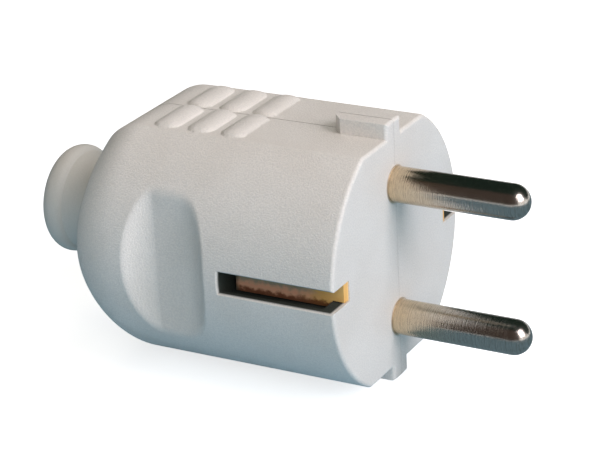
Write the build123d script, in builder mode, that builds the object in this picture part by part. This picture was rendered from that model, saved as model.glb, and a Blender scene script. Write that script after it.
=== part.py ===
"""Straight rewirable earthed mains plug: two moulded housing halves around two pins and an earth strap.

The origin is the centre of the engagement face. X runs out along the pins, Z runs from the lower pin to
the upper pin, and the housing parts at the plane Y = 0. All sizes are millimetres.
"""

import os
from math import cos, radians, sin

from build123d import *

os.makedirs("parts", exist_ok=True)

# Pins, to the standard for two round pins of 4.8 mm
pin_diameter = 4.8
pin_length = 19.0
pin_spacing = 19.0
pin_height = pin_spacing / 2

# Housing, outside
face_radius = 18.4
across_flats = 32.4
flat_height = across_flats / 2
flat_edge_radius = 1.2
body_length = 40.3
rear_fall_length = 7.2
rear_fall_at_flats = 7.85
rear_fall_at_sides = 3.2
rear_fall_steps = 9
face_edge_radius = 0.5

# Guide ridge on each flat
ridge_width = 4.0
ridge_length = 8.0
ridge_corner_chamfer = 1.2

# Grip ribs, in line across both halves
rib_width = 3.4
rib_rise = 0.55
rib_length = 9.4
rib_pitch = 5.1
rib_middle_x = -24.8
rib_seam_gap = 0.2
rib_end_radius = 0.45
rib_count = 3

# Thumb recess in each side
recess_floor = 15.4
recess_front_x = -18.9
recess_rear_x = -31.4
recess_rim_radius = 1.2
recess_overrun = 1.0
recess_front_sag = 0.9
recess_rear_sag = 1.0
recess_floor_front_x = -22.4
recess_floor_rear_x = -26.6

# Housing, inside
wall = 2.2
face_wall = 5.0
rear_wall = 2.7
cavity_half_width = 13.3
cavity_rear_radius = 3.0
rib_embed = 0.4

# Earth contact slots and the strap that lies in them
slot_height = 2.9
slot_length = 16.8
slot_bevel = 0.35
slot_floor = 13.9
slot_skin = 1.0
pocket_height = 5.0
pocket_front_x = -2.0
slot_lining = 1.9
slot_lining_margin = 0.9
lining_rear = 19.0
strip_thickness = 0.8
strip_width = 2.7
strip_bend_radius = 1.2
bridge_x = -19.5
bridge_half_span = 8.5
inner_arm_y = 11.0
inner_arm_x = -16.4
strip_turn_x = -14.0
strip_set_back = 0.2
bridge_rib_thickness = 1.5
bridge_rib_gap = 2.0

# Pin collars and terminal blocks
pin_root_radius = 2.6
pin_root_rise = 0.05
collar_radius = 3.6
collar_front_x = -2.4
collar_length = 1.5
block_width = 7.0
block_length = 11.0
block_edge_radius = 0.6
core_hole_radius = 1.5
core_hole_depth = 8.0
block_screw_x = -9.5
block_screw_length = 2.4
block_rib_x = -12.6
block_rib_thickness = 1.5
block_rib_inner_z = 5.0

# Screws and nut
screw_radius = 1.5
head_radius = 2.6
head_height = 1.8
drive_slot_width = 0.8
drive_slot_depth = 0.9
screw_end_chamfer = 0.35
nut_across_flats = 5.5
nut_thickness = 2.4
nut_corner_chamfer = 0.5
nut_slot_length = 7.5
hole_end_gap = 0.4

# Screw that joins the housing halves
joint_x = -25.5
joint_head_seat = 12.4
joint_head_pocket_radius = 3.1
joint_boss_radius = 4.4
joint_clearance_radius = 1.7
joint_screw_end = -9.0
near_post_radius = 3.8
far_post_radius = 3.0
nut_top = -4.0

# Cord clamp, grommet and inlet
clamp_front_x = -30.0
clamp_length = 3.4
clamp_middle_x = clamp_front_x - clamp_length / 2
saddle_half_width = 5.6
cord_radius = 4.0
clamp_screw_height = 8.5
clamp_post_radius = 3.0
clamp_bar_thickness = 2.4
clamp_bar_half_length = 11.0
clamp_screw_depth = 8.0
inlet_radius = 6.0
grommet_flange_radius = 7.6
grommet_flange_thickness = 1.3
grommet_step = 1.8
grommet_waist_radius = 5.6
grommet_rim_x = -48.7
grommet_rim_radius = 6.9
grommet_rim_bulge = 0.5
grommet_rim_ease = 0.12
grommet_widest_x = -49.8
grommet_widest_radius = 7.6
grommet_end_x = -52.2
grommet_end_radius = 6.0
grommet_end_bulge = 0.65
grommet_end_ease = 1.05
grommet_mouth_radius = 4.9
grommet_bore_radius = 4.3

# Earth terminal on the bridge of the strap
earth_screw_y = 6.0
earth_washer_width = 5.2
earth_washer_thickness = 0.6
tapped_collar_radius = 2.4
tapped_collar_height = 1.4
earth_screw_length = 5.0

# Locating pegs between the halves
peg_length = 2.0
peg_clearance = 0.05
front_peg_radius = 1.2
rear_peg_radius = 0.8
front_peg_x = -2.6
rear_peg_x = -38.9
rear_peg_height = 9.2


def finish(piece, name):
    """Label a finished piece and write it out under its own name."""
    piece.part.label = name
    export_step(piece.part, f"parts/{name}.step")


def housing_section(x, half_width=face_radius, half_height=flat_height):
    """The round section with a flat above and below, at one station along the body."""
    with BuildSketch(Plane.YZ.offset(x)) as section:
        Ellipse(half_width, face_radius * half_height / flat_height)
        Rectangle(3 * half_width, 2 * half_height, mode=Mode.INTERSECT)
        fillet(section.vertices(), radius=flat_edge_radius)
    return section.sketch


def rear_section(angle):
    """One section of the rounded rear end, where every side falls in along a quarter ellipse."""
    fall = 1 - cos(radians(angle))
    return housing_section(
        rear_fall_length * (1 - sin(radians(angle))) - body_length,
        face_radius - rear_fall_at_sides * fall,
        flat_height - rear_fall_at_flats * fall,
    )


def crossing_plane(x, y, z):
    """A plane square to the parting direction, with its normal towards the far side."""
    return Plane(origin=(x, y, z), x_dir=(1, 0, 0), z_dir=(0, 1, 0))


def slotted_screw(seat, shank_length, name):
    """A cheese head screw: its head stands on the seat plane and its shank goes down through it."""
    with BuildPart() as screw:
        with BuildSketch(seat):
            Circle(head_radius)
        extrude(amount=head_height)
        with BuildSketch(seat):
            Circle(screw_radius)
        extrude(amount=-shank_length)
        chamfer(screw.edges().filter_by(GeomType.CIRCLE).group_by(SortBy.RADIUS)[0].sort_by(
            Axis(seat.origin, seat.z_dir))[0], length=screw_end_chamfer)
        chamfer(screw.edges().filter_by(GeomType.CIRCLE).group_by(SortBy.RADIUS)[-1].sort_by(
            Axis(seat.origin, seat.z_dir))[-1], length=screw_end_chamfer)
        with BuildSketch(seat.offset(head_height)):
            Rectangle(2 * head_radius + 1, drive_slot_width)
        extrude(amount=-drive_slot_depth, mode=Mode.SUBTRACT)
    finish(screw, name)
    return screw


# Outside of the housing, both halves together

with BuildPart() as guide_ridge:
    with BuildSketch(Plane.XY):
        with Locations((-ridge_length / 2, 0)):
            ridge_plan = Rectangle(ridge_length, ridge_width)
        chamfer(ridge_plan.vertices().group_by(Axis.X)[0], length=ridge_corner_chamfer)
    extrude(amount=face_radius + 1)
    with BuildSketch(Plane.YZ):
        Circle(face_radius)
        Rectangle(ridge_width + 1, 2 * flat_height - 4, mode=Mode.SUBTRACT)
    extrude(amount=-ridge_length, mode=Mode.INTERSECT)

with BuildPart() as thumb_recess:
    with BuildSketch(Plane.XY.offset(-flat_height)):
        with BuildLine():
            rear_top = (recess_rear_x - recess_overrun / 2, -face_radius - recess_overrun)
            front_top = (recess_front_x + recess_overrun / 2, -face_radius - recess_overrun)
            rear_foot = (recess_floor_rear_x, -recess_floor)
            front_foot = (recess_floor_front_x, -recess_floor)
            Line(rear_foot, front_foot)
            SagittaArc(front_foot, front_top, -recess_front_sag)
            Line(front_top, rear_top)
            SagittaArc(rear_foot, rear_top, recess_rear_sag)
        make_face()
    extrude(amount=2 * flat_height)

with BuildPart() as grip_rib:
    crown_radius = (rib_width**2 / 4 + rib_rise**2) / (2 * rib_rise)
    axis_height = flat_height + rib_rise - crown_radius
    rib_run = rib_length - rib_width / 2
    with BuildSketch(crossing_plane(0, rib_seam_gap, axis_height)):
        Circle(crown_radius)
    extrude(amount=rib_run)
    with Locations((0, rib_seam_gap + rib_run, axis_height)):
        Sphere(crown_radius)
    split(bisect_by=Plane.XY.offset(axis_height), keep=Keep.TOP)
    split(bisect_by=crossing_plane(0, rib_seam_gap, 0), keep=Keep.TOP)
    fillet(grip_rib.edges().group_by(Axis.Y)[0].filter_by(GeomType.CIRCLE), radius=rib_end_radius)

with BuildPart() as housing_form:
    extrude(housing_section(0), amount=rear_fall_length - body_length)
    loft([rear_section(90 * step / rear_fall_steps) for step in range(rear_fall_steps + 1)])
    add(guide_ridge.part)
    add(guide_ridge.part.mirror(Plane.XY))
    fillet(housing_form.edges().group_by(Axis.X)[-1], radius=face_edge_radius)
    with Locations(*[(rib_middle_x + (i - (rib_count - 1) / 2) * rib_pitch, 0) for i in range(rib_count)]):
        for side in (grip_rib.part, grip_rib.part.mirror(Plane.XZ)):
            add(side)
            add(side.mirror(Plane.XY))
    for side in (thumb_recess.part, thumb_recess.part.mirror(Plane.XZ)):
        add(side, mode=Mode.SUBTRACT)
        fillet(housing_form.edges(Select.LAST).filter_by(Axis.Z, reverse=True), radius=recess_rim_radius)


# Inside of the housing halves

with BuildPart() as wiring_space:
    with BuildSketch(Plane.YZ.offset(-face_wall)):
        Circle(face_radius - wall)
        Rectangle(2 * cavity_half_width, across_flats - 2 * wall, mode=Mode.INTERSECT)
    extrude(amount=face_wall + rear_wall - body_length)
    fillet(wiring_space.edges().group_by(Axis.X)[0], radius=cavity_rear_radius)

with BuildPart() as slot_tool:
    with BuildSketch(crossing_plane(0, -face_radius - 1, 0)):
        with Locations(((1 - slot_length) / 2, 0)):
            Rectangle(slot_length + 1, slot_height)
    extrude(amount=face_radius + 1 - slot_floor)
    with BuildSketch(crossing_plane(0, slot_bevel - face_radius, 0)):
        with Locations(((1 - slot_length) / 2, 0)):
            Rectangle(slot_length + 1, slot_height)
    extrude(amount=-2 * slot_bevel, taper=-45)
    with BuildSketch(crossing_plane(0, slot_skin - face_radius, 0)):
        with Locations(((pocket_front_x - slot_length) / 2, 0)):
            Rectangle(slot_length + pocket_front_x, pocket_height)
    extrude(amount=face_radius - slot_skin - slot_floor)
    with BuildSketch(crossing_plane(0, -slot_floor, 0)):
        with Locations((-(face_wall + slot_length) / 2, 0)):
            Rectangle(slot_length - face_wall, pocket_height)
    extrude(amount=slot_lining + 1)

with BuildPart() as pin_seat:
    with BuildSketch(Plane.YZ):
        with Locations((0, pin_height), (0, -pin_height)):
            Circle(pin_root_radius)
    extrude(amount=-face_wall)
    with BuildSketch(Plane.YZ.offset(collar_front_x)):
        with Locations((0, pin_height), (0, -pin_height)):
            Circle(collar_radius)
    extrude(amount=-collar_length)

with BuildPart() as shell_blank:
    add(housing_form.part)
    add(wiring_space.part, mode=Mode.SUBTRACT)
    with BuildSketch(Plane.YZ.offset(block_rib_x)):
        Circle(face_radius - wall + rib_embed)
        Rectangle(
            2 * (cavity_half_width + rib_embed),
            across_flats - 2 * wall + rib_embed,
            mode=Mode.INTERSECT,
        )
        Rectangle(block_width, across_flats, mode=Mode.SUBTRACT)
        Rectangle(across_flats, 2 * block_rib_inner_z, mode=Mode.SUBTRACT)
    extrude(amount=-block_rib_thickness)
    split(bisect_by=Plane.XZ, keep=Keep.TOP)
    with BuildSketch(crossing_plane(0, -cavity_half_width - rib_embed, 0)):
        with Locations((-(face_wall + lining_rear) / 2, 0)):
            Rectangle(lining_rear - face_wall, pocket_height + 2 * slot_lining_margin)
    extrude(amount=cavity_half_width + rib_embed - slot_floor + slot_lining)
    add(slot_tool.part, mode=Mode.SUBTRACT)
    add(pin_seat.part, mode=Mode.SUBTRACT)
    with BuildSketch(Plane.YZ.offset(-body_length - 1)):
        Circle(inlet_radius)
    extrude(amount=rear_wall + 2, mode=Mode.SUBTRACT)

# Near half: it carries the pins, the strap, the cord clamp and the nut

with BuildPart() as near_shell:
    add(shell_blank.part)
    near_floor = crossing_plane(0, -cavity_half_width - rib_embed, 0)
    with BuildSketch(near_floor):
        with Locations((joint_x, 0)):
            Circle(near_post_radius)
        with Locations((clamp_middle_x, clamp_screw_height), (clamp_middle_x, -clamp_screw_height)):
            Circle(clamp_post_radius)
        with Locations((clamp_middle_x, 0)):
            Rectangle(clamp_length, 2 * saddle_half_width)
    extrude(amount=cavity_half_width + rib_embed)
    with BuildSketch(near_floor):
        with Locations((bridge_x - strip_thickness / 2 - bridge_rib_thickness / 2, 0)):
            Rectangle(bridge_rib_thickness, strip_width)
    extrude(amount=cavity_half_width + rib_embed - bridge_rib_gap)
    with BuildSketch(Plane.YZ.offset(clamp_front_x)):
        Circle(cord_radius)
    extrude(amount=-clamp_length, mode=Mode.SUBTRACT)
    with BuildSketch(Plane.XZ):
        with Locations((joint_x, 0)):
            Circle(joint_clearance_radius)
    extrude(amount=-joint_screw_end + hole_end_gap, mode=Mode.SUBTRACT)
    with BuildSketch(Plane.XZ):
        with Locations((clamp_middle_x, clamp_screw_height), (clamp_middle_x, -clamp_screw_height)):
            Circle(screw_radius)
    extrude(amount=clamp_screw_depth + hole_end_gap, mode=Mode.SUBTRACT)
    with BuildSketch(crossing_plane(joint_x, nut_top, (nut_slot_length - nut_across_flats) / 2)):
        Rectangle(nut_across_flats, nut_slot_length)
    extrude(amount=-nut_thickness, mode=Mode.SUBTRACT)
    with BuildSketch(crossing_plane(0, 0, 0)):
        with Locations((front_peg_x, 0)):
            Circle(front_peg_radius)
        with Locations((rear_peg_x, rear_peg_height), (rear_peg_x, -rear_peg_height)):
            Circle(rear_peg_radius)
    extrude(amount=peg_length)
finish(near_shell, "near_shell")

# Far half: it closes the plug and takes the head of the screw in its thumb recess

with BuildPart() as far_shell:
    add(shell_blank.part.mirror(Plane.XZ))
    with BuildSketch(crossing_plane(0, 0, 0)):
        with Locations((joint_x, 0)):
            Circle(far_post_radius)
    extrude(amount=cavity_half_width + rib_embed)
    with BuildSketch(crossing_plane(0, joint_head_seat - wall, 0)):
        with Locations((joint_x, 0)):
            Circle(joint_boss_radius)
    extrude(amount=wall + cavity_half_width + rib_embed - joint_head_seat)
    with BuildSketch(crossing_plane(0, 0, 0)):
        with Locations((joint_x, 0)):
            Circle(joint_clearance_radius)
    extrude(amount=face_radius, mode=Mode.SUBTRACT)
    with BuildSketch(crossing_plane(0, joint_head_seat, 0)):
        with Locations((joint_x, 0)):
            Circle(joint_head_pocket_radius)
    extrude(amount=face_radius, mode=Mode.SUBTRACT)
    with BuildSketch(crossing_plane(0, 0, 0)):
        with Locations((front_peg_x, 0)):
            Circle(front_peg_radius + peg_clearance)
        with Locations((rear_peg_x, rear_peg_height), (rear_peg_x, -rear_peg_height)):
            Circle(rear_peg_radius + peg_clearance)
    extrude(amount=peg_length + hole_end_gap, mode=Mode.SUBTRACT)
finish(far_shell, "far_shell")

# Pins: each is turned with its collar, and carries a drilled and tapped block for a core

for name, height in (("upper", pin_height), ("lower", -pin_height)):
    with BuildPart() as pin:
        with BuildSketch(Plane.XY.offset(height)):
            with BuildLine():
                radius = pin_diameter / 2
                RadiusArc((pin_length, 0), (pin_length - radius, radius), -radius)
                Polyline(
                    (pin_length - radius, radius),
                    (pin_root_rise, radius),
                    (pin_root_rise, pin_root_radius),
                    (collar_front_x, pin_root_radius),
                    (collar_front_x, collar_radius),
                    (collar_front_x - collar_length, collar_radius),
                    (collar_front_x - collar_length, pin_root_radius),
                    (-face_wall, pin_root_radius),
                    (-face_wall, 0),
                    (pin_length, 0),
                )
            make_face()
        revolve(axis=Axis((0, 0, height), (1, 0, 0)))
        with BuildSketch(Plane.YZ.offset(-face_wall)):
            with Locations((0, height)):
                RectangleRounded(block_width, block_width, block_edge_radius)
        extrude(amount=-block_length)
        with BuildSketch(Plane.YZ.offset(-face_wall - block_length)):
            with Locations((0, height)):
                Circle(core_hole_radius)
        extrude(amount=core_hole_depth, mode=Mode.SUBTRACT)
        with BuildSketch(crossing_plane(block_screw_x, 0, height)):
            Circle(screw_radius)
        extrude(amount=block_width, mode=Mode.SUBTRACT)
    finish(pin, f"{name}_pin")
    slotted_screw(crossing_plane(block_screw_x, block_width / 2, height), block_screw_length,
                  f"{name}_terminal_screw")

# Earth strap: one strip bent to a U, with a tapped collar drawn in a square pad of its bridge

with BuildPart() as earth_strap:
    with BuildSketch(Plane.XY.offset(-strip_width / 2)):
        with BuildLine() as strap_line:
            arm_y = slot_floor + strip_thickness / 2
            near_side = [
                (-strip_set_back, -arm_y),
                (strip_turn_x, -arm_y),
                (inner_arm_x, -inner_arm_y),
                (bridge_x, -bridge_half_span),
            ]
            FilletPolyline(*near_side, *[(x, -y) for x, y in reversed(near_side)], radius=strip_bend_radius)
        trace(strap_line.line, line_width=strip_thickness)
    extrude(amount=strip_width)
    earth_hole_plane = Plane(origin=(bridge_x, earth_screw_y, 0), x_dir=(0, 0, 1), z_dir=(1, 0, 0))
    with BuildSketch(earth_hole_plane):
        RectangleRounded(earth_washer_width, earth_washer_width, block_edge_radius)
    extrude(amount=strip_thickness / 2, both=True)
    with BuildSketch(earth_hole_plane):
        Circle(tapped_collar_radius)
    extrude(amount=strip_thickness / 2 + tapped_collar_height)
    with BuildSketch(earth_hole_plane):
        Circle(screw_radius)
    extrude(amount=2 * tapped_collar_height, both=True, mode=Mode.SUBTRACT)
finish(earth_strap, "earth_strap")

earth_washer_seat = Plane(
    origin=(bridge_x - strip_thickness / 2, earth_screw_y, 0), x_dir=(0, 0, 1), z_dir=(-1, 0, 0)
)
with BuildPart() as earth_terminal_washer:
    with BuildSketch(earth_washer_seat):
        RectangleRounded(earth_washer_width, earth_washer_width, block_edge_radius)
        Circle(screw_radius, mode=Mode.SUBTRACT)
    extrude(amount=earth_washer_thickness)
finish(earth_terminal_washer, "earth_terminal_washer")
slotted_screw(earth_washer_seat.offset(earth_washer_thickness), earth_screw_length, "earth_terminal_screw")

# Cord clamp: a bar with an arch over the cord, screwed to the two posts of the near half

with BuildPart() as cord_clamp_bar:
    with BuildSketch(Plane.YZ.offset(clamp_front_x)):
        Circle(cord_radius + clamp_bar_thickness)
        with Locations((clamp_bar_thickness / 2, 0)):
            Rectangle(clamp_bar_thickness, 2 * clamp_bar_half_length)
        Circle(cord_radius, mode=Mode.SUBTRACT)
        with Locations((-face_radius / 2, 0)):
            Rectangle(face_radius, 2 * face_radius, mode=Mode.SUBTRACT)
    extrude(amount=-clamp_length)
    with BuildSketch(crossing_plane(0, 0, 0)):
        with Locations((clamp_middle_x, clamp_screw_height), (clamp_middle_x, -clamp_screw_height)):
            Circle(screw_radius)
    extrude(amount=clamp_bar_thickness, mode=Mode.SUBTRACT)
finish(cord_clamp_bar, "cord_clamp_bar")

for name, height in (("upper", clamp_screw_height), ("lower", -clamp_screw_height)):
    slotted_screw(crossing_plane(clamp_middle_x, clamp_bar_thickness, height),
                  clamp_bar_thickness + clamp_screw_depth, f"cord_clamp_screw_{name}")

# Screw and captive nut that hold the halves together

slotted_screw(crossing_plane(joint_x, joint_head_seat, 0), joint_head_seat - joint_screw_end,
              "housing_screw")
with BuildPart() as housing_nut:
    with BuildSketch(crossing_plane(0, nut_top, 0)):
        with Locations((joint_x, 0)):
            Rectangle(nut_across_flats, nut_across_flats)
            Circle(screw_radius, mode=Mode.SUBTRACT)
    extrude(amount=-nut_thickness)
    chamfer(housing_nut.edges().filter_by(Axis.Y), length=nut_corner_chamfer)
finish(housing_nut, "housing_nut")

# Cord grommet: a soft collar, its inner flange behind the rear wall and its neck in the inlet

with BuildPart() as cord_grommet:
    with BuildSketch(Plane.XY):
        with BuildLine():
            rear_face = -body_length
            flange_rear = rear_wall - body_length
            flange_front = flange_rear + grommet_flange_thickness
            Polyline(
                (flange_front, grommet_bore_radius),
                (flange_front, grommet_flange_radius),
                (flange_rear, grommet_flange_radius),
                (flange_rear, inlet_radius),
                (rear_face, inlet_radius),
                (rear_face - grommet_step, grommet_waist_radius),
                (grommet_rim_x, grommet_rim_radius),
            )
            ThreePointArc(
                (grommet_rim_x, grommet_rim_radius),
                (grommet_widest_x + grommet_rim_bulge, grommet_widest_radius - grommet_rim_ease),
                (grommet_widest_x, grommet_widest_radius),
            )
            ThreePointArc(
                (grommet_widest_x, grommet_widest_radius),
                (grommet_end_x + grommet_end_bulge, grommet_end_radius + grommet_end_ease),
                (grommet_end_x, grommet_end_radius),
            )
            Polyline(
                (grommet_end_x, grommet_end_radius),
                (grommet_end_x, grommet_mouth_radius),
                (grommet_end_x + grommet_mouth_radius - grommet_bore_radius, grommet_bore_radius),
                (flange_front, grommet_bore_radius),
            )
        make_face()
    revolve(axis=Axis.X)
finish(cord_grommet, "cord_grommet")
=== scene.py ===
"""The looks of a straight earthed mains plug: its finishes, its table, the light and the camera."""

from math import cos, radians, sin

import bmesh
import bpy
from mathutils import Matrix, Vector


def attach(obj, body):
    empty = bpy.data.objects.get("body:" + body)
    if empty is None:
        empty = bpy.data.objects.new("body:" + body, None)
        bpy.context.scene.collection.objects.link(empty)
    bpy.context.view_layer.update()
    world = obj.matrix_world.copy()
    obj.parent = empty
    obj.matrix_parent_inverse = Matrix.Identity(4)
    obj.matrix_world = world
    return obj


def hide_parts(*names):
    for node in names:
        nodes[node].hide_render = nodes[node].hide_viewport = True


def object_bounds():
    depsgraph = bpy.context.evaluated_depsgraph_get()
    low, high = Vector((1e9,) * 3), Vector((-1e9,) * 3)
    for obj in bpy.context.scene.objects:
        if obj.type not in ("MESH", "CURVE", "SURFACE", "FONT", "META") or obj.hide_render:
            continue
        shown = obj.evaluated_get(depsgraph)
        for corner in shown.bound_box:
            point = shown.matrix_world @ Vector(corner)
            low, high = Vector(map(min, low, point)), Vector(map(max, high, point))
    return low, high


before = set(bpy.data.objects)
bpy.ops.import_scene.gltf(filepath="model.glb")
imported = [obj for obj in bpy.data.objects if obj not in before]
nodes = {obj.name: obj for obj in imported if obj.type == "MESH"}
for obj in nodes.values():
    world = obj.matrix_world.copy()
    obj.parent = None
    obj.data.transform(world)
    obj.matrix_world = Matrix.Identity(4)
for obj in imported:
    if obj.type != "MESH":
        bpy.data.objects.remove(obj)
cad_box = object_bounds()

scene = bpy.context.scene


# Housing: two halves moulded in off-white plastic that meet at the plane y = 0. The tool was spark
# eroded, so the skin is a fine satin grain. A hairline shows where the halves meet, and the pocket
# behind each slot is painted nearly black as shade.

mm_per_metre = 1000


class Socket:
    """One output of a node. An expression on it adds its Math nodes to the same finish."""

    def __init__(self, finish, output):
        self.finish = finish
        self.output = output

    def math(self, operation, *values):
        return self.finish.node("ShaderNodeMath", {"operation": operation}, dict(enumerate(values)))

    def rise(self, low, high):
        """0 below low and 1 above high, with a smooth step between."""
        return self.finish.node(
            "ShaderNodeMapRange", {"interpolation_type": "SMOOTHSTEP"},
            {"Value": self, "From Min": low, "From Max": high},
        )

    def __add__(self, other):
        return self.math("ADD", self, other)

    def __sub__(self, other):
        return self.math("SUBTRACT", self, other)

    def __rsub__(self, other):
        return self.math("SUBTRACT", other, self)

    def __mul__(self, other):
        return self.math("MULTIPLY", self, other)

    def __abs__(self):
        return self.math("ABSOLUTE", self)

    __radd__ = __add__
    __rmul__ = __mul__


class Finish:
    """A material, with one method that adds any node to it."""

    def __init__(self, name):
        self.material = bpy.data.materials.new(name)
        self.material.use_nodes = True
        self.nodes = self.material.node_tree.nodes
        self.shader = self.nodes["Principled BSDF"]

    def node(self, kind, settings, sockets, output=0):
        node = self.nodes.new(kind)
        for setting, value in settings.items():
            setattr(node, setting, value)
        self.plug(node, sockets)
        return Socket(self, node.outputs[output])

    def plug(self, node, sockets):
        for socket, value in sockets.items():
            if isinstance(value, Socket):
                self.material.node_tree.links.new(value.output, node.inputs[socket])
            else:
                node.inputs[socket].default_value = value

    def place(self):
        """The point's place on the plug in millimetres, as one vector and as x, y and z."""
        metres = self.node("ShaderNodeTexCoord", {}, {}, output="Object")
        point = self.node("ShaderNodeVectorMath", {"operation": "SCALE"}, {0: metres, "Scale": mm_per_metre})
        return (point, *(self.node("ShaderNodeSeparateXYZ", {}, {0: point}, axis) for axis in "XYZ"))

    def noise(self, point, per_mm, detail=3.0):
        return self.node("ShaderNodeTexNoise", {}, {"Vector": point, "Scale": per_mm, "Detail": detail})

    def blend(self, factor, first, second):
        return self.node(
            "ShaderNodeMix", {"data_type": "RGBA"}, {0: factor, 6: first, 7: second}, output=2,
        )

    def bump(self, strength, depth, height):
        """Dents of a depth in metres, for the shader's Normal."""
        return self.node("ShaderNodeBump", {}, {"Strength": strength, "Distance": depth, "Height": height})

    def cover(self, slot, *names):
        """Lay the finish over the CAD nodes, in place of the plain one that they came with."""
        for name in names:
            nodes[name].data.materials.clear()
            nodes[name].data.materials.append(self.material)


grey_plastic = (0.800, 0.755, 0.695, 1)
cream_plastic = (0.840, 0.800, 0.745, 1)
grain_shade = (0.60, 0.58, 0.56, 1)
seam_dirt = (0.20, 0.15, 0.11, 1)
# painted shade: the nearly black colour of the deep pocket behind each slot
pocket_painted_shade = (0.012, 0.020, 0.014, 1)
pocket_radii = (18.05, 18.3)

plastic = Finish("moulded_plastic")
point, x, y, z = plastic.place()
clouds = plastic.noise(point, 0.13)
grain = plastic.noise(point, 4.7, 4)
speckle = grain.rise(0.25, 0.75)
seam = (1 - abs(y).rise(0.02, 0.09)) * (1 - 0.7 * x.rise(-0.6, -0.1))
below_skin = 1 - (y * y + z * z).rise(*(radius ** 2 for radius in pocket_radii))
behind_slot = (1 - abs(z).rise(2.6, 2.8)) * x.rise(-17.5, -17.3) * (1 - x.rise(-0.7, -0.3))
pocket = below_skin * behind_slot
shell_colour = plastic.blend(clouds.rise(0.3, 0.7), grey_plastic, cream_plastic)
shell_colour = plastic.blend(speckle * 0.5, shell_colour, grain_shade)
shell_colour = plastic.blend(seam * 0.6, shell_colour, seam_dirt)
# painted shade: the pocket behind each slot is coloured nearly black, as the shade in it
shell_colour = plastic.blend(pocket * 0.97, shell_colour, pocket_painted_shade)
plastic.plug(plastic.shader, {
    "Base Color": shell_colour,
    "Roughness": 0.46 + 0.12 * speckle + 0.5 * pocket,
    "IOR": 1.46,
    "Normal": plastic.bump(1.0, 0.0001, grain - 2 * seam),
})
plastic.cover("housing", "near_shell", "far_shell")


# Outside of the housing: the two CAD halves again, in the same plastic, with the moulded skin formed
# finer. The thumb recess has a soft rear wall and a long front one, and each rib is a low capsule that
# ends before the round of the side. All of its places are in millimetres.

housing_radius = round(cad_box[1][2] * mm_per_metre, 3)
flat_height = 16.2
skin_ends = (-33.05, -17.7)
side_inner = 14.3
seam_inner = 0.1

recess_floor = 15.4
recess_half_height = 11.0
rear_wall = {"foot": -27.8, "rim": -31.4, "steepness": 1.6}
front_wall = {"foot": -27.0, "rim": -19.15, "steepness": 4.2}
rim_softness = 0.55

rib_rise = 0.7
rib_half_width = 2.0
rib_crown = 0.75
rib_run = (1.5, 6.6)
rib_seam_bluntness = 1.35
rib_pitch = 5.1
rib_middles = [-24.8 + rib_pitch * i for i in (-1, 0, 1)]
rib_zone_end = 10.8
rib_zone_drop = 1.3

finest_edge = 0.42
splits_at_most = 9
weld_distance = 1e-7
slope_step = 0.05
tolerance = 0.02


def climb(x, wall):
    """How far one wall of the recess has risen from the floor at x."""
    share = (x - wall["foot"]) / (wall["rim"] - wall["foot"])
    return (housing_radius - recess_floor) * max(share, 0) ** wall["steepness"]


def side_depth(x, z):
    """Distance of the side from the parting plane: the round of the housing, dished by the recess."""
    round_side = (housing_radius ** 2 - z ** 2) ** 0.5
    dish = recess_floor + climb(x, rear_wall) + climb(x, front_wall)
    share = min(max(0.5 + 0.5 * (dish - round_side) / rim_softness, 0), 1)
    return dish + (round_side - dish) * share - rim_softness * share * (1 - share)


def top_height(x, y):
    """Height of the flat top and its ribs, down to the round of the side."""
    beyond = max(rib_seam_bluntness * (rib_run[0] - y), y - rib_run[1], 0)
    across = min(abs(x - middle) for middle in rib_middles)
    off_axis = (across ** 2 + beyond ** 2) ** 0.5 / rib_half_width
    rib = rib_rise * max(1 - off_axis ** 2, 0) ** rib_crown
    return min(flat_height + rib, (housing_radius ** 2 - y ** 2) ** 0.5)


def slope(height, u, v):
    """Fall of a height along each of its two directions."""
    return (
        (height(u - slope_step, v) - height(u + slope_step, v)) / (2 * slope_step),
        (height(u, v - slope_step) - height(u, v + slope_step)) / (2 * slope_step),
    )


def in_recess(x, y, z):
    return skin_ends[0] < x < skin_ends[1] and y > side_inner and abs(z) < recess_half_height


def on_top(x, y, z):
    lowest = min(flat_height, (housing_radius ** 2 - y ** 2) ** 0.5) - tolerance
    return skin_ends[0] < x < skin_ends[1] and seam_inner < y < rib_zone_end and abs(z) > lowest


def too_long(edge):
    """Whether the skin needs a point in the middle of the edge."""
    first, last = (vertex.co * mm_per_metre for vertex in edge.verts)
    along, up = (sorted(pair) for pair in ((first.x, last.x), (first.z, last.z)))
    if along[1] < skin_ends[0] or along[0] > skin_ends[1] or edge.calc_length() * mm_per_metre < finest_edge:
        return False
    inner_y = min(abs(first.y), abs(last.y))
    inner_z = min(abs(first.z), abs(last.z))
    at_side = inner_y > side_inner and up[1] > -recess_half_height and up[0] < recess_half_height
    return at_side or inner_z > flat_height - rib_zone_drop and inner_y < rib_zone_end


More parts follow.
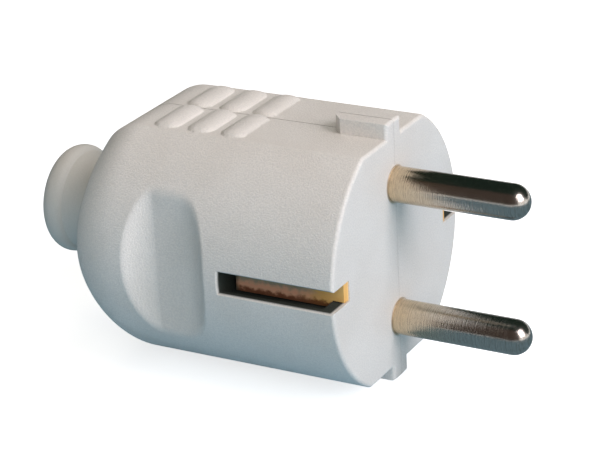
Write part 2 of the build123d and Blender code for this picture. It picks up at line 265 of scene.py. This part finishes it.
def finer_half(name, shell_name, side):
    shell = nodes[shell_name]
    form = bmesh.new()
    form.from_mesh(shell.data)
    kept = form.loops.layers.float_vector.new("kept_normal")
    corners = [corner for face in form.faces for corner in face.loops]
    for corner, normal in zip(corners, shell.data.corner_normals):
        corner[kept] = normal.vector
    bmesh.ops.remove_doubles(form, verts=form.verts, dist=weld_distance)
    for _ in range(splits_at_most):
        long_edges = [edge for edge in form.edges if too_long(edge)]
        if not long_edges:
            break
        bmesh.ops.subdivide_edges(form, edges=long_edges, cuts=1)
        bmesh.ops.triangulate(form, faces=[face for face in form.faces if len(face.verts) > 3])

    skin_normals = {}
    for vertex in form.verts:
        x, y, z = vertex.co * mm_per_metre
        y *= side
        if in_recess(x, y, z):
            vertex.co.y = side * side_depth(x, z) / mm_per_metre
            back, up = slope(side_depth, x, z)
            skin_normals[vertex] = Vector((back, side, up)).normalized()
        elif on_top(x, y, z):
            above = 1 if z > 0 else -1
            vertex.co.z = above * top_height(x, y) / mm_per_metre
            back, out = slope(top_height, x, y)
            skin_normals[vertex] = Vector((back, side * out, above)).normalized()

    corner_normals = []
    for face in form.faces:
        for corner in face.loops:
            normal = corner[kept].normalized()
            beside_recess = abs(corner.vert.co.z) * mm_per_metre < recess_half_height
            faces_inward = beside_recess and corner[kept].y * side < tolerance
            if corner.vert in skin_normals and not faces_inward:
                normal = skin_normals[corner.vert]
            corner_normals.append(normal)
    mesh = bpy.data.meshes.new(name)
    form.to_mesh(mesh)
    form.free()
    mesh.normals_split_custom_set(corner_normals)
    mesh.materials.append(plastic.material)
    half = bpy.data.objects.new(name, mesh)
    scene.collection.objects.link(half)
    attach(half, "root")
    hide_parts(shell_name)


finer_half("near_half", "near_shell", -1)
finer_half("far_half", "far_shell", 1)


# Pins: turned brass, nickel plated. The tool left fine rings round them, and the plating is thin and warm
# where the pins go in and out of the face.

warm_plate = (0.74, 0.58, 0.38, 1)
clean_plate = (0.60, 0.56, 0.51, 1)
score_shade = (0.34, 0.27, 0.21, 1)
shoulder_plate = (0.86, 0.78, 0.66, 1)
warm_length = 13

nickel = Finish("nickel_plate")
point, x, y, z = nickel.place()
rings = nickel.node("ShaderNodeTexNoise", {"noise_dimensions": "1D"}, {"W": x, "Scale": 6, "Detail": 4})
along = nickel.node("ShaderNodeVectorMath", {"operation": "MULTIPLY"}, {0: point, 1: (7, 1.6, 1.6)})
scores = 0.5 * rings + 0.5 * nickel.noise(along, 1, 4)
tarnish = nickel.noise(point, 0.7)
shoulder = 1 - x.rise(0.04, 0.08)
plate_colour = nickel.blend((x + 2.5 * tarnish).rise(0, warm_length), warm_plate, clean_plate)
plate_colour = nickel.blend(scores.rise(0.42, 0.62) * 0.45, plate_colour, score_shade)
plate_colour = nickel.blend(shoulder, plate_colour, shoulder_plate)
nickel.plug(nickel.shader, {
    "Base Color": plate_colour,
    "Metallic": 1.0,
    "Roughness": 0.14 + 0.16 * scores + 0.5 * shoulder,
    "Normal": nickel.bump(0.7, 0.00003, scores),
})
nickel.cover("pin", "upper_pin", "lower_pin")


# Earth strap: one strip of brass, rolled, bent to a U and left bare, so it has gone brown and dull.
# Shade is painted on it: greenish and darker over its upper half, nearly black along its lower edge
# and dark at its rear end. The sockets' springs have rubbed its front end bright, and it is painted
# brighter there also as light that comes in where the slot opens.

brown_brass = (1.0, 0.56, 0.36, 1)
# the front end: brass rubbed bright, and also painted light where the slot opens
worn_and_lit_brass = (1.0, 0.60, 0.20, 1)
# painted shade: the darker, greenish colour of the strap's upper half, under the slot's upper wall
green_painted_shade = (0.45, 0.40, 0.27, 1)
# painted shade: the nearly black colour along the strap's lower edge
lower_painted_shade = (0.16, 0.05, 0.02, 1)
# painted shade: the dark colour of the strap's rear end, inside the pocket
rear_painted_shade = (0.10, 0.10, 0.07, 1)

strip = Finish("bare_brass")
point, x, y, z = strip.place()
strap_mottle = strip.noise(point, 1.3, 6)
# front end of the strap: worn bright by the springs, and painted brighter as light from the slot's opening
worn_and_lit_front = (x + 3 * strap_mottle).rise(-5.5, -1.5)
above = (z + 1.6 * strap_mottle).rise(-0.4, 0.6) * (1 - worn_and_lit_front)
below = 1 - (z - 1.6 * strap_mottle).rise(-2.8, -2.0)
strip_colour = strip.blend(worn_and_lit_front, brown_brass, worn_and_lit_brass)
# painted shade: the upper half of the strap is coloured darker and greenish
strip_colour = strip.blend(above, strip_colour, green_painted_shade)
# painted shade along the lower edge of the strap
strip_colour = strip.blend(below * 0.92, strip_colour, lower_painted_shade)
# painted shade at the rear end of the strap
strip_colour = strip.blend(1 - (x + strap_mottle).rise(-15.9, -14.9), strip_colour, rear_painted_shade)
strip.plug(strip.shader, {
    "Base Color": strip_colour,
    "Metallic": 0.15,
    "Roughness": 0.5 - 0.15 * worn_and_lit_front,
    "Normal": strip.bump(0.5, 0.00003, strip.noise(point, 6)),
})
strip.cover("strap", "earth_strap")


# Contact plates: a thin plate of the same brass pressed on the outside of each arm of the strap, where
# the springs of the socket slide. Its wide part fills the pocket behind the slot, its edge is rounded
# off, and its narrow front end fits between the slot's lips.

plate_inner = 14.7
plate_outer = 14.86
plate_bevel = 0.06
plate_lower_edge = [(-16.2, -2.3), (-2.3, -2.3), (-2.0, -1.36), (-0.25, -1.36)]


def contact_plate(name, side):
    outline = plate_lower_edge + [(x, -z) for x, z in reversed(plate_lower_edge)]
    middle = sum(x for x, z in outline) / len(outline)
    rings = []
    for depth, inset in ((plate_inner, 0), (plate_outer - plate_bevel, 0), (plate_outer, plate_bevel)):
        rings.append([
            (x - inset if x > middle else x + inset, side * depth, z - inset if z > 0 else z + inset)
            for x, z in outline
        ])
    count = len(outline)
    faces = [tuple(range(count)), tuple(range(2 * count, 3 * count))]
    for ring in (0, count):
        faces += [
            (ring + i, ring + (i + 1) % count, ring + count + (i + 1) % count, ring + count + i)
            for i in range(count)
        ]
    mesh = bpy.data.meshes.new(name)
    mesh.from_pydata([Vector(corner) / mm_per_metre for ring in rings for corner in ring], [], faces)
    form = bmesh.new()
    form.from_mesh(mesh)
    bmesh.ops.recalc_face_normals(form, faces=form.faces)
    form.to_mesh(mesh)
    form.free()
    mesh.materials.append(strip.material)
    plate = bpy.data.objects.new(name, mesh)
    scene.collection.objects.link(plate)
    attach(plate, "root")


contact_plate("contact_plate_near", -1)
contact_plate("contact_plate_far", 1)


# Cord grommet: a flared collar of softer plastic, pressed into the rear of the housing, where a flange
# holds it between the halves. It is duller and a little greyer than the housing.

grommet_dark = (0.60, 0.58, 0.53, 1)
grommet_light = (0.70, 0.67, 0.62, 1)

soft_plastic = Finish("soft_plastic")
point, x, y, z = soft_plastic.place()
skin = soft_plastic.noise(point, 5)
soft_plastic.plug(soft_plastic.shader, {
    "Base Color": soft_plastic.blend(skin, grommet_dark, grommet_light),
    "Roughness": 0.6,
    "Normal": soft_plastic.bump(0.4, 0.00004, skin),
})
soft_plastic.cover("grommet", "cord_grommet")


# Fasteners: the terminal screws, the washer, the screws of the cord clamp, and the screw and nut that
# hold the halves. They are steel, zinc plated and passivated to a faint yellow, with the mottled
# spangle of the bath.

yellow_zinc = (0.60, 0.57, 0.47, 1)
bright_zinc = (0.72, 0.70, 0.64, 1)

zinc = Finish("zinc_plate")
point, x, y, z = zinc.place()
spangle = zinc.noise(point, 2.2, 4)
zinc.plug(zinc.shader, {
    "Base Color": zinc.blend(spangle.rise(0.35, 0.65), yellow_zinc, bright_zinc),
    "Metallic": 1.0,
    "Roughness": 0.28 + 0.2 * spangle,
    "Normal": zinc.bump(0.4, 0.00003, zinc.noise(point, 7)),
})
zinc.cover(
    "screw", "upper_terminal_screw", "lower_terminal_screw", "earth_terminal_screw", "earth_terminal_washer",
    "cord_clamp_screw_upper", "cord_clamp_screw_lower", "housing_screw", "housing_nut",
)


# Cord clamp bar: punched from brown laminated board and held down by its two screws, with the faint
# weave of its layers on the faces.

dark_board = (0.20, 0.11, 0.06, 1)
light_board = (0.30, 0.18, 0.10, 1)

board = Finish("laminated_board")
point, x, y, z = board.place()
stripes = board.node(
    "ShaderNodeTexWave", {"bands_direction": "DIAGONAL"}, {"Vector": point, "Scale": 1.4, "Distortion": 2.0},
)
weave = 0.5 * board.noise(point, 3.5, 2) + 0.5 * stripes
board.plug(board.shader, {
    "Base Color": board.blend(weave, dark_board, light_board),
    "Roughness": 0.55,
    "Normal": board.bump(0.5, 0.00004, weave),
})
board.cover("clamp", "cord_clamp_bar")


# Table: a wide pale sheet under the plug. The camera and the reflections see it white, and it keeps
# the plug's shadow. The light that it gives back to the underside is dimmer and bluish, as from a
# plain table.

table_half_width = 3.0
table_height = cad_box[0][2]
table_bluish = (0.37, 0.59, 0.74, 1)
table_pale = (0.80, 0.80, 0.80, 1)
black = (0, 0, 0, 1)
white = (1, 1, 1, 1)
square = [(-1, -1), (1, -1), (1, 1), (-1, 1)]


def level_sheet(half_width, height):
    """Corners and face of a level square around the origin."""
    return [(half_width * i, half_width * j, height) for i, j in square], [(0, 1, 2, 3)]


table_corners, table_face = level_sheet(table_half_width, table_height)
table_mesh = bpy.data.meshes.new("table")
table_mesh.from_pydata(table_corners, [], table_face)
table = bpy.data.objects.new("table", table_mesh)
scene.collection.objects.link(table)

sheet = Finish("table")
rays = [
    sheet.node("ShaderNodeLightPath", {}, {}, f"Is {kind} Ray")
    for kind in ("Camera", "Glossy", "Transmission")
]
seen = rays[0].math("MAXIMUM", rays[0], rays[1].math("MAXIMUM", rays[1], rays[2]))
sheet.plug(sheet.shader, {
    "Base Color": sheet.blend(seen, table_bluish, table_pale),
    "Roughness": 1.0,
    "Specular IOR Level": 0.0,
    "Emission Color": sheet.blend(seen, black, white),
    "Emission Strength": 0.7,
})
table_mesh.materials.append(sheet.material)


# Light: one soft box in front of the pins, which the metal reflects, and wide soft fills on the camera's
# side, above, behind and at the rear, which reflections don't show.

fill_distance = 0.9


def soft_box(name, direction, distance, width, height, power, colour):
    lamp = bpy.data.lights.new(name, "AREA")
    lamp.shape = "RECTANGLE"
    lamp.size = width
    lamp.size_y = height
    lamp.energy = power
    lamp.color = colour
    box = bpy.data.objects.new(name, lamp)
    box.location = Vector(direction).normalized() * distance
    box.rotation_euler = Vector(direction).to_track_quat("Z", "Y").to_euler()
    scene.collection.objects.link(box)
    return box


soft_box("front_box", (0.80, -0.12, 0.56), 0.7, 0.36, 0.44, 3.5, (1.0, 0.947, 0.989))
for name, direction, width, height, power, colour in (
    ("camera_box", (0.50, -0.75, 0.45), 0.6, 0.6, 3.45, (0.96, 0.955, 0.96)),
    ("top_box", (0.0, 0.0, 1.0), 0.8, 0.8, 1.65, (1.0, 0.89, 0.70)),
    ("back_box", (0.1, 0.9, 0.6), 0.8, 0.6, 2.5, (0.93, 0.967, 1.0)),
    ("rear_box", (-1.0, -0.3, 0.35), 0.6, 0.6, 0.3, (1.0, 1.0, 0.9)),
):
    fill = soft_box(name, direction, fill_distance, width, height, power, colour)
    fill.visible_glossy = False


# Cards: what the bare metal reflects. A dark arch stands over the table and in front of it, down to the
# ground on the camera's side, and a blue-grey sheet lies under the pins. Only reflections see them.

arch_radius = 1.3
arch_half_length = 1.6
arch_steps = 12
ground_card_half_width = 0.3
ground_card_lift = 0.0002
arch_dark = (0.014, 0.026, 0.020, 1)
arch_brown = (0.072, 0.055, 0.046, 1)
ground_blue = (0.15, 0.23, 0.28, 1)


def card(name, corners, faces, colour):
    mesh = bpy.data.meshes.new(name)
    mesh.from_pydata(corners, [], faces)
    paint = bpy.data.materials.new(name)
    paint.use_nodes = True
    paint_nodes = paint.node_tree.nodes
    glow = paint_nodes.new("ShaderNodeEmission")
    glow.inputs["Color"].default_value = colour
    paint.node_tree.links.new(glow.outputs[0], paint_nodes["Material Output"].inputs["Surface"])
    mesh.materials.append(paint)
    sheet = bpy.data.objects.new(name, mesh)
    sheet.visible_camera = False
    sheet.visible_diffuse = False
    sheet.visible_shadow = False
    sheet.visible_transmission = False
    scene.collection.objects.link(sheet)


def arch(name, first_angle, last_angle, colour):
    """A stretch of an arch over the X axis. Angles run from straight up, towards the camera's side."""
    corners = []
    for step in range(arch_steps + 1):
        angle = radians(first_angle + (last_angle - first_angle) * step / arch_steps)
        for end in (-arch_half_length, arch_half_length):
            corners.append((end, -arch_radius * sin(angle), table_height + arch_radius * cos(angle)))
    faces = [(2 * i, 2 * i + 1, 2 * i + 3, 2 * i + 2) for i in range(arch_steps)]
    faces += [tuple(range(end, len(corners), 2)) for end in (0, 1)]
    card(name, corners, faces, colour)


arch("dark_arch", -84, 24, arch_dark)
arch("front_arch", 24, 90, arch_brown)
card("ground_card", *level_sheet(ground_card_half_width, table_height + ground_card_lift), ground_blue)


# Room: dim and a little blue for what it gives to the plug, white where the camera or a reflection sees it.

room_blue = (0.006, 0.010, 0.012, 1)

room = bpy.data.worlds.new("room")
room.use_nodes = True
room_nodes = room.node_tree.nodes
room_links = room.node_tree.links
dim_room = room_nodes["Background"]
dim_room.inputs["Color"].default_value = room_blue
white_room = room_nodes.new("ShaderNodeBackground")
white_room.inputs["Color"].default_value = white
ray = room_nodes.new("ShaderNodeLightPath")
seen_or_reflected = room_nodes.new("ShaderNodeMath")
seen_or_reflected.operation = "MAXIMUM"
seen_at_all = room_nodes.new("ShaderNodeMath")
seen_at_all.operation = "MAXIMUM"
shown = room_nodes.new("ShaderNodeMixShader")
room_links.new(ray.outputs["Is Camera Ray"], seen_or_reflected.inputs[0])
room_links.new(ray.outputs["Is Glossy Ray"], seen_or_reflected.inputs[1])
room_links.new(seen_or_reflected.outputs[0], seen_at_all.inputs[0])
room_links.new(ray.outputs["Is Transmission Ray"], seen_at_all.inputs[1])
room_links.new(seen_at_all.outputs[0], shown.inputs["Fac"])
room_links.new(dim_room.outputs[0], shown.inputs[1])
room_links.new(white_room.outputs[0], shown.inputs[2])
room_links.new(shown.outputs[0], room_nodes["World Output"].inputs["Surface"])
scene.world = room


# Camera: the photo's angle and lens, from a fit to the pins and the face. The origin, at the middle of
# the face, falls on one pixel of the picture.

view_azimuth = radians(29.531)
view_elevation = radians(22.638)
view_roll = radians(-2.851)
view_distance = 0.304284
picture_size = (603, 451)
focal_pixels = 2307.4
sensor_width = 36
nearest_seen = 0.01
face_centre_pixel = (397.748, 250.662)

towards_camera = Vector((
    sin(view_azimuth) * cos(view_elevation),
    -cos(view_azimuth) * cos(view_elevation),
    sin(view_elevation),
))
level_right = Vector((cos(view_azimuth), sin(view_azimuth), 0))
level_up = towards_camera.cross(level_right)
camera_right = cos(view_roll) * level_right + sin(view_roll) * level_up
camera_up = -sin(view_roll) * level_right + cos(view_roll) * level_up
metres_per_pixel = view_distance / focal_pixels
aside = (face_centre_pixel[0] - picture_size[0] / 2) * metres_per_pixel
above = (picture_size[1] / 2 - face_centre_pixel[1]) * metres_per_pixel

camera_data = bpy.data.cameras.new("camera")
camera_data.sensor_width = sensor_width
camera_data.lens = focal_pixels / picture_size[0] * sensor_width
camera_data.clip_start = nearest_seen
camera = bpy.data.objects.new("camera", camera_data)
camera_axes = Matrix((camera_right, camera_up, towards_camera)).transposed()
camera.matrix_world = Matrix.Translation(
    view_distance * towards_camera - aside * camera_right - above * camera_up
) @ camera_axes.to_4x4()
scene.collection.objects.link(camera)
scene.camera = camera
scene.view_settings.view_transform = "Standard"
